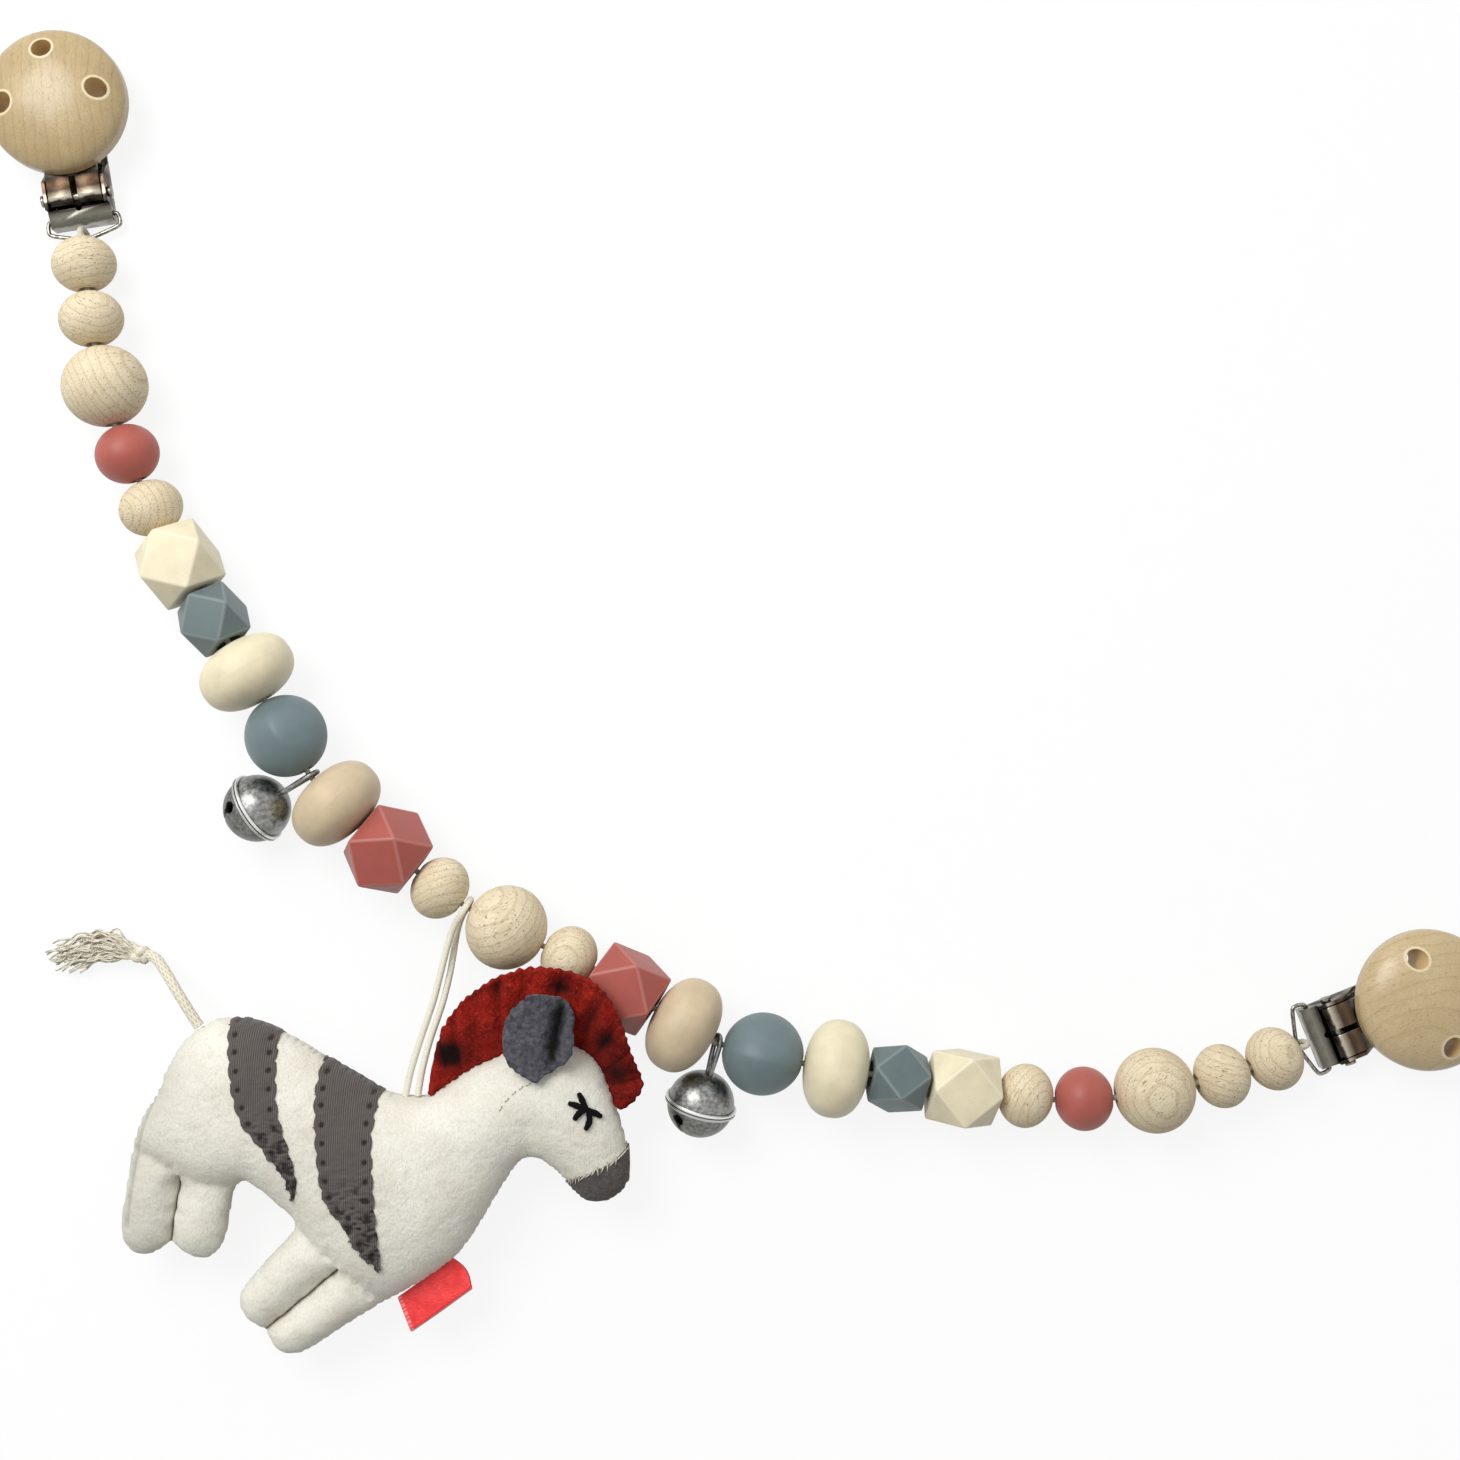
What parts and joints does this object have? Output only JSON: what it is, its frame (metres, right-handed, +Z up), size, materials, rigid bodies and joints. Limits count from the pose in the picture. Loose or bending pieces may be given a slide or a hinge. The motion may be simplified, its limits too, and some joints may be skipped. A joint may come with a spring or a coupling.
{
  "type": "pram chain toy",
  "caption": "Pram chain toy: wooden and silicone beads on a thread between two clips with wooden discs, with jingle bells and a stuffed zebra on a hanging loop.",
  "frame": {"origin": "on the table, under the middle of the whole toy's footprint", "axes": "+Z up from the table; the picture is seen from +Z with +X to its right and +Y to its top"},
  "size_m": [0.3592, 0.3122, 0.0275],
  "materials": {
    "wood": "raw",
    "varnished_wood": "clear varnish",
    "rose": "matte silicone",
    "blue": "matte silicone",
    "cream": "matte silicone",
    "beige": "matte silicone",
    "thread": "twisted cord",
    "chrome": "plated",
    "silver": "aged plating",
    "plastic": "moulded",
    "cotton": "plush",
    "stripe": "ribbed knit",
    "mane": "crinkled satin",
    "ear": "fleece",
    "muzzle": "ribbed knit",
    "label": "woven"
  },
  "bodies": {
    "middle": {"middle_bead_large_wood": "wood", "thread": "thread"},
    "left_bead_01": {"left_bead_01_small_wood": "wood"},
    "left_bead_02": {"left_bead_02_rose_hex": "rose"},
    "left_bead_03": {"left_bead_03_beige_abacus": "beige"},
    "left_bead_04": {"left_bead_04_blue_round": "blue"},
    "left_bead_05": {"left_bead_05_cream_abacus": "cream"},
    "left_bead_06": {"left_bead_06_blue_hex": "blue"},
    "left_bead_07": {"left_bead_07_cream_hex": "cream"},
    "left_bead_08": {"left_bead_08_small_wood": "wood"},
    "left_bead_09": {"left_bead_09_rose_round": "rose"},
    "left_bead_10": {"left_bead_10_large_wood": "wood"},
    "left_bead_11": {"left_bead_11_small_wood": "wood"},
    "left_bead_12": {"left_bead_12_small_wood": "wood"},
    "left_wire": {"left_clip_wire_loop": "chrome"},
    "left_clip": {"left_clip_frame": "chrome", "left_clip_pad": "plastic", "left_clip_pin": "chrome"},
    "left_lever": {"left_clip_lever": "chrome", "left_clip_disc": "varnished_wood"},
    "right_bead_01": {"right_bead_01_small_wood": "wood"},
    "right_bead_02": {"right_bead_02_rose_hex": "rose"},
    "right_bead_03": {"right_bead_03_beige_abacus": "beige"},
    "right_bead_04": {"right_bead_04_blue_round": "blue"},
    "right_bead_05": {"right_bead_05_cream_abacus": "cream"},
    "right_bead_06": {"right_bead_06_blue_hex": "blue"},
    "right_bead_07": {"right_bead_07_cream_hex": "cream"},
    "right_bead_08": {"right_bead_08_small_wood": "wood"},
    "right_bead_09": {"right_bead_09_rose_round": "rose"},
    "right_bead_10": {"right_bead_10_large_wood": "wood"},
    "right_bead_11": {"right_bead_11_small_wood": "wood"},
    "right_bead_12": {"right_bead_12_small_wood": "wood"},
    "right_wire": {"right_clip_wire_loop": "chrome"},
    "right_clip": {"right_clip_frame": "chrome", "right_clip_pad": "plastic", "right_clip_pin": "chrome"},
    "right_lever": {"right_clip_lever": "chrome", "right_clip_disc": "varnished_wood"},
    "bell_1": {"bell_1_upper_shell": "silver", "bell_1_lower_shell": "silver"},
    "bell_1_pellet": {"bell_1_pellet": "silver"},
    "bell_2": {"bell_2_upper_shell": "silver", "bell_2_lower_shell": "silver"},
    "bell_2_pellet": {"bell_2_pellet": "silver"},
    "zebra": {"hanging_loop": "thread", "zebra_body": "cotton", "zebra_ear_lower": "ear", "zebra_ear_upper": "ear", "zebra_head": "cotton", "zebra_label": "label", "zebra_leg_front_inner": "cotton", "zebra_leg_front_outer": "cotton", "zebra_leg_hind_inner": "cotton", "zebra_leg_hind_outer": "cotton", "zebra_mane": "mane", "zebra_muzzle": "muzzle", "zebra_stripe_front": "stripe", "zebra_stripe_rear": "stripe", "zebra_tail_cord": "thread", "zebra_tail_tassel": "thread"}
  },
  "joints": [
    {"name": "left_bead_01_swing", "type": "hinge", "parent": "middle", "child": "left_bead_01", "pos_m": [-0.06545, -0.0518, 0.0101], "axis": [0, 0, 1], "range_deg": [-8, 8], "deforming": ["thread"]},
    {"name": "left_bead_02_swing", "type": "hinge", "parent": "left_bead_01", "child": "left_bead_02", "pos_m": [-0.0772, -0.04325, 0.01075], "axis": [0, 0, 1], "range_deg": [-8, 8]},
    {"name": "left_bead_03_swing", "type": "hinge", "parent": "left_bead_02", "child": "left_bead_03", "pos_m": [-0.09051, -0.03286, 0.0116], "axis": [0, 0, 1], "range_deg": [-2, 8]},
    {"name": "left_bead_04_swing", "type": "hinge", "parent": "left_bead_03", "child": "left_bead_04", "pos_m": [-0.10231, -0.02063, 0.0116], "axis": [0, 0, 1], "range_deg": [-8, 8]},
    {"name": "left_bead_05_swing", "type": "hinge", "parent": "left_bead_04", "child": "left_bead_05", "pos_m": [-0.11308, -0.00272, 0.0116], "axis": [0, 0, 1], "range_deg": [-8, 8]},
    {"name": "left_bead_06_swing", "type": "hinge", "parent": "left_bead_05", "child": "left_bead_06", "pos_m": [-0.12145, 0.01068, 0.0116], "axis": [0, 0, 1], "range_deg": [-8, 8]},
    {"name": "left_bead_07_swing", "type": "hinge", "parent": "left_bead_06", "child": "left_bead_07", "pos_m": [-0.12909, 0.02245, 0.01023], "axis": [0, 0, 1], "range_deg": [-7, 8]},
    {"name": "left_bead_08_swing", "type": "hinge", "parent": "left_bead_07", "child": "left_bead_08", "pos_m": [-0.13811, 0.03687, 0.00844], "axis": [0, 0, 1], "range_deg": [-8, 8]},
    {"name": "left_bead_09_swing", "type": "hinge", "parent": "left_bead_08", "child": "left_bead_09", "pos_m": [-0.14342, 0.04939, 0.00873], "axis": [0, 0, 1], "range_deg": [-8, 8]},
    {"name": "left_bead_10_swing", "type": "hinge", "parent": "left_bead_09", "child": "left_bead_10", "pos_m": [-0.14898, 0.06249, 0.0101], "axis": [0, 0, 1], "range_deg": [-8, 8]},
    {"name": "left_bead_11_swing", "type": "hinge", "parent": "left_bead_10", "child": "left_bead_11", "pos_m": [-0.1537, 0.08141, 0.0101], "axis": [0, 0, 1], "range_deg": [-8, 8]},
    {"name": "left_bead_12_swing", "type": "hinge", "parent": "left_bead_11", "child": "left_bead_12", "pos_m": [-0.1558, 0.09469, 0.00881], "axis": [0, 0, 1], "range_deg": [-8, 8]},
    {"name": "left_wire_swing", "type": "hinge", "parent": "left_bead_12", "child": "left_wire", "pos_m": [-0.15804, 0.1088, 0.0025], "axis": [0, 0, 1], "range_deg": [-25, 25]},
    {"name": "left_clip_tip", "type": "hinge", "parent": "left_wire", "child": "left_clip", "pos_m": [-0.15882, 0.11374, 0.0025], "axis": [0.9877, 0.1564, 0], "range_deg": [0, 45]},
    {"name": "left_lever_open", "type": "hinge", "parent": "left_clip", "child": "left_lever", "pos_m": [-0.15954, 0.11829, 0.005], "axis": [0.9877, 0.1564, 0], "range_deg": [0, 40]},
    {"name": "right_bead_01_swing", "type": "hinge", "parent": "middle", "child": "right_bead_01", "pos_m": [-0.04722, -0.06108, 0.0101], "axis": [0, 0, 1], "range_deg": [0, 8]},
    {"name": "right_bead_02_swing", "type": "hinge", "parent": "right_bead_01", "child": "right_bead_02", "pos_m": [-0.0348, -0.06661, 0.00994], "axis": [0, 0, 1], "range_deg": [-2, 8]},
    {"name": "right_bead_03_swing", "type": "hinge", "parent": "right_bead_02", "child": "right_bead_03", "pos_m": [-0.0207, -0.07577, 0.0116], "axis": [0, 0, 1], "range_deg": [-8, 5]},
    {"name": "right_bead_04_swing", "type": "hinge", "parent": "right_bead_03", "child": "right_bead_04", "pos_m": [-0.00583, -0.08401, 0.0116], "axis": [0, 0, 1], "range_deg": [-8, 8]},
    {"name": "right_bead_05_swing", "type": "hinge", "parent": "right_bead_04", "child": "right_bead_05", "pos_m": [0.01454, -0.08872, 0.0116], "axis": [0, 0, 1], "range_deg": [-8, 8]},
    {"name": "right_bead_06_swing", "type": "hinge", "parent": "right_bead_05", "child": "right_bead_06", "pos_m": [0.03014, -0.09119, 0.0116], "axis": [0, 0, 1], "range_deg": [-8, 8]},
    {"name": "right_bead_07_swing", "type": "hinge", "parent": "right_bead_06", "child": "right_bead_07", "pos_m": [0.04392, -0.09386, 0.01023], "axis": [0, 0, 1], "range_deg": [-8, 5]},
    {"name": "right_bead_08_swing", "type": "hinge", "parent": "right_bead_07", "child": "right_bead_08", "pos_m": [0.0608, -0.09594, 0.00844], "axis": [0, 0, 1], "range_deg": [-8, 8]},
    {"name": "right_bead_09_swing", "type": "hinge", "parent": "right_bead_08", "child": "right_bead_09", "pos_m": [0.07426, -0.09783, 0.00872], "axis": [0, 0, 1], "range_deg": [-8, 8]},
    {"name": "right_bead_10_swing", "type": "hinge", "parent": "right_bead_09", "child": "right_bead_10", "pos_m": [0.08848, -0.09708, 0.0101], "axis": [0, 0, 1], "range_deg": [-8, 8]},
    {"name": "right_bead_11_swing", "type": "hinge", "parent": "right_bead_10", "child": "right_bead_11", "pos_m": [0.10768, -0.0937, 0.0101], "axis": [0, 0, 1], "range_deg": [-8, 8]},
    {"name": "right_bead_12_swing", "type": "hinge", "parent": "right_bead_11", "child": "right_bead_12", "pos_m": [0.12072, -0.09045, 0.00881], "axis": [0, 0, 1], "range_deg": [-8, 8]},
    {"name": "right_wire_swing", "type": "hinge", "parent": "right_bead_12", "child": "right_wire", "pos_m": [0.13414, -0.08552, 0.0025], "axis": [0, 0, 1], "range_deg": [-25, 25]},
    {"name": "right_clip_tip", "type": "hinge", "parent": "right_wire", "child": "right_clip", "pos_m": [0.13878, -0.08365, 0.0025], "axis": [0.3746, -0.9272, 0], "range_deg": [0, 45]},
    {"name": "right_lever_open", "type": "hinge", "parent": "right_clip", "child": "right_lever", "pos_m": [0.14304, -0.08193, 0.005], "axis": [0.3746, -0.9272, 0], "range_deg": [0, 40]},
    {"name": "bell_1_swing", "type": "hinge", "parent": "left_bead_03", "child": "bell_1", "pos_m": [-0.10231, -0.02063, 0.0116], "axis": [-0.5075, 0.8616, 0], "range_deg": [0, 80]},
    {"name": "bell_1_pellet_slide", "type": "slide", "parent": "bell_1", "child": "bell_1_pellet", "axis": [0.8444, 0.4974, 0.1987], "range_m": [-0.0016, 0.0016]},
    {"name": "bell_2_swing", "type": "hinge", "parent": "right_bead_03", "child": "bell_2", "pos_m": [-0.00583, -0.08401, 0.0116], "axis": [-0.9659, 0.2588, 0], "range_deg": [0, 80]},
    {"name": "bell_2_pellet_slide", "type": "slide", "parent": "bell_2", "child": "bell_2_pellet", "axis": [0.2537, 0.9467, 0.1987], "range_m": [-0.0016, 0.0016]},
    {"name": "zebra_swing", "type": "hinge", "parent": "middle", "child": "zebra", "pos_m": [-0.06545, -0.0518, 0], "axis": [0, 0, 1], "range_deg": [-30, 0], "deforming": ["hanging_loop"]}
  ]
}
